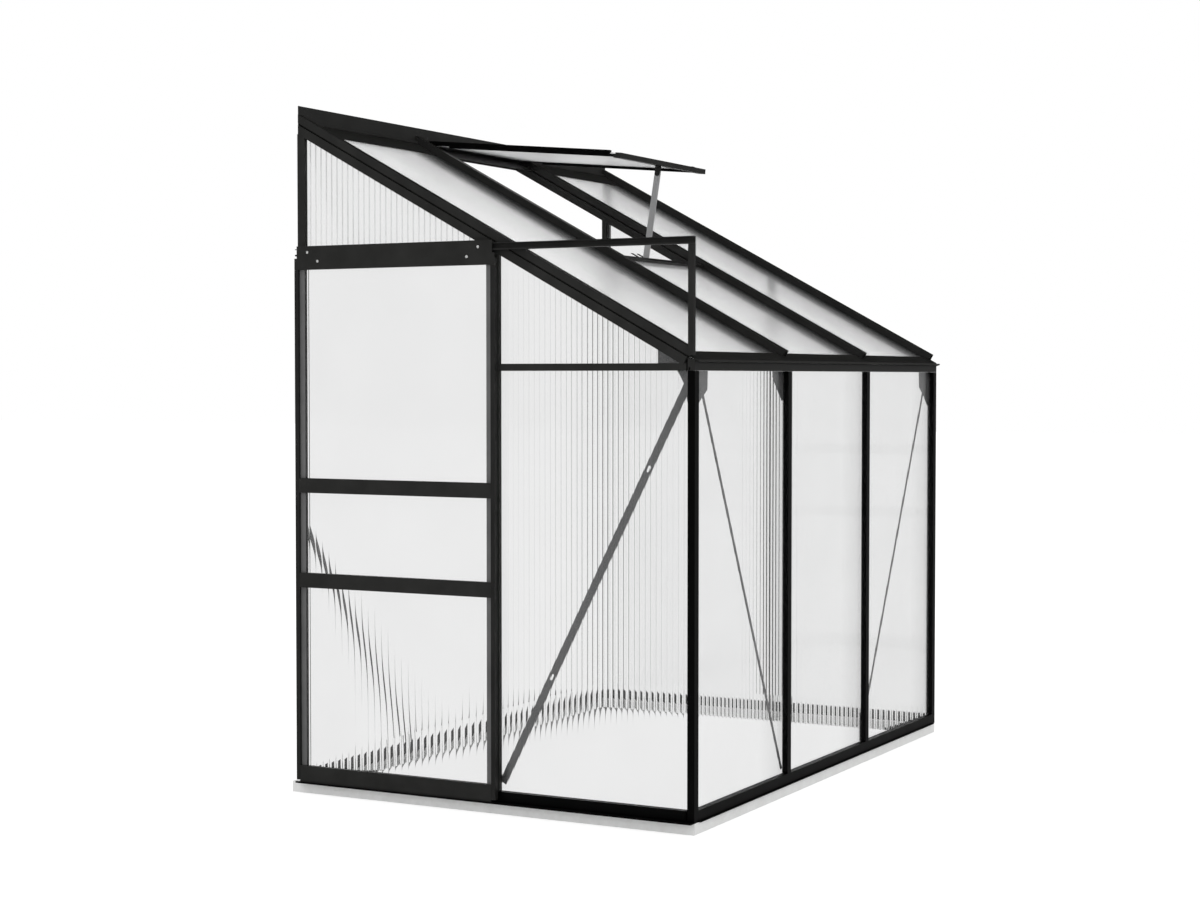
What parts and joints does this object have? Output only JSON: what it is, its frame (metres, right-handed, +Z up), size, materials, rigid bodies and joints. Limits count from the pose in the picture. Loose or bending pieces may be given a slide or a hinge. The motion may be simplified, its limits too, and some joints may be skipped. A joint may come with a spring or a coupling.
{
  "type": "lean to greenhouse",
  "caption": "Lean-to greenhouse: dark aluminium frame on a pale steel base, twin-wall glazing, sliding door in the gable and a hinged roof vent.",
  "frame": {"origin": "middle of the whole footprint, on the ground", "axes": "+Z up, +Y towards the wall it leans on, -Y is the low glazed front, -X is the gable with the sliding door, +X the plain gable"},
  "size_m": [1.913, 1.309, 1.9872],
  "materials": {
    "dark_aluminium": "charcoal powder coat, satin",
    "pale_steel": "pale grey galvanised sheet",
    "twin_wall": "clear twin-wall polycarbonate, fluted along its length",
    "grey_aluminium": "mill finish",
    "dark_nylon": "moulded"
  },
  "bodies": {
    "greenhouse": {"base_front": "pale_steel", "base_rear": "pale_steel", "base_door_end": "pale_steel", "base_far_end": "pale_steel", "sill_front": "dark_aluminium", "sill_door_end": "dark_aluminium", "sill_far_end": "dark_aluminium", "sill_rear": "dark_aluminium", "corner_post_door_end": "dark_aluminium", "corner_post_far_end": "dark_aluminium", "wall_post_door_end": "dark_aluminium", "wall_post_far_end": "dark_aluminium", "gable_post_door_end": "dark_aluminium", "gable_post_far_end": "dark_aluminium", "front_post_1": "dark_aluminium", "front_post_2": "dark_aluminium", "rafter_1": "dark_aluminium", "rafter_2": "dark_aluminium", "rafter_3": "dark_aluminium", "rafter_4": "dark_aluminium", "eaves_beam": "dark_aluminium", "ridge_bar": "dark_aluminium", "gable_eaves_bar": "dark_aluminium", "door_header": "dark_aluminium", "front_sheet_1": "twin_wall", "front_sheet_2": "twin_wall", "front_sheet_3": "twin_wall", "roof_sheet_1": "twin_wall", "roof_sheet_2_lower": "twin_wall", "roof_sheet_3": "twin_wall", "gable_sheet_fixed_lower": "twin_wall", "gable_sheet_fixed_upper": "twin_wall", "gable_sheet_over_door": "twin_wall", "far_gable_sheet_front": "twin_wall", "far_gable_sheet_rear": "twin_wall", "door_track": "dark_aluminium", "track_end_post": "dark_aluminium", "vent_sill": "dark_aluminium", "brace_door_gable": "grey_aluminium", "brace_front_first": "grey_aluminium", "brace_front_last": "grey_aluminium", "gusset_front_post": "grey_aluminium", "brace_wall_side": "grey_aluminium"},
    "door": {"door_stile_front": "dark_aluminium", "door_stile_rear": "dark_aluminium", "door_top_rail": "dark_aluminium", "door_rail_upper": "dark_aluminium", "door_rail_lower": "dark_aluminium", "door_rail_bottom": "dark_aluminium", "door_sheet_top": "twin_wall", "door_sheet_middle": "twin_wall", "door_sheet_bottom": "twin_wall"},
    "front_wheel": {"door_wheel_front": "dark_nylon"},
    "rear_wheel": {"door_wheel_rear": "dark_nylon"},
    "vent": {"vent_hinge_bar": "dark_aluminium", "vent_side_bar_near": "dark_aluminium", "vent_side_bar_far": "dark_aluminium", "vent_front_bar": "dark_aluminium", "vent_sheet": "twin_wall"},
    "stay": {"vent_stay": "grey_aluminium"}
  },
  "joints": [
    {"name": "door_slide", "type": "slide", "parent": "greenhouse", "child": "door", "axis": [0, -1, 0], "range_m": [0, 0.57]},
    {"name": "front_wheel_spin", "type": "hinge", "parent": "door", "child": "front_wheel", "pos_m": [-0.94065, 0.0095, 1.5639], "axis": [1, 0, 0], "range_deg": [0, 4245]},
    {"name": "rear_wheel_spin", "type": "hinge", "parent": "door", "child": "rear_wheel", "pos_m": [-0.94065, 0.5815, 1.5639], "axis": [1, 0, 0], "range_deg": [0, 4245]},
    {"name": "vent_hinge", "type": "hinge", "parent": "greenhouse", "child": "vent", "pos_m": [0.0115, 0.6085, 1.94342], "axis": [-1, 0, 0], "range_deg": [-23.86, 0]},
    {"name": "stay_pivot", "type": "hinge", "parent": "vent", "child": "stay", "pos_m": [0.0115, -0.05992, 1.84124], "axis": [1, 0, 0], "range_deg": [0, 75.1]}
  ],
  "couplings": [
    {"joint": "front_wheel_spin", "follows": "door_slide", "rad_per_m": 129.87},
    {"joint": "rear_wheel_spin", "follows": "door_slide", "rad_per_m": 129.87},
    {"joint": "stay_pivot", "follows": "vent_hinge", "ratio": -3.1433}
  ]
}
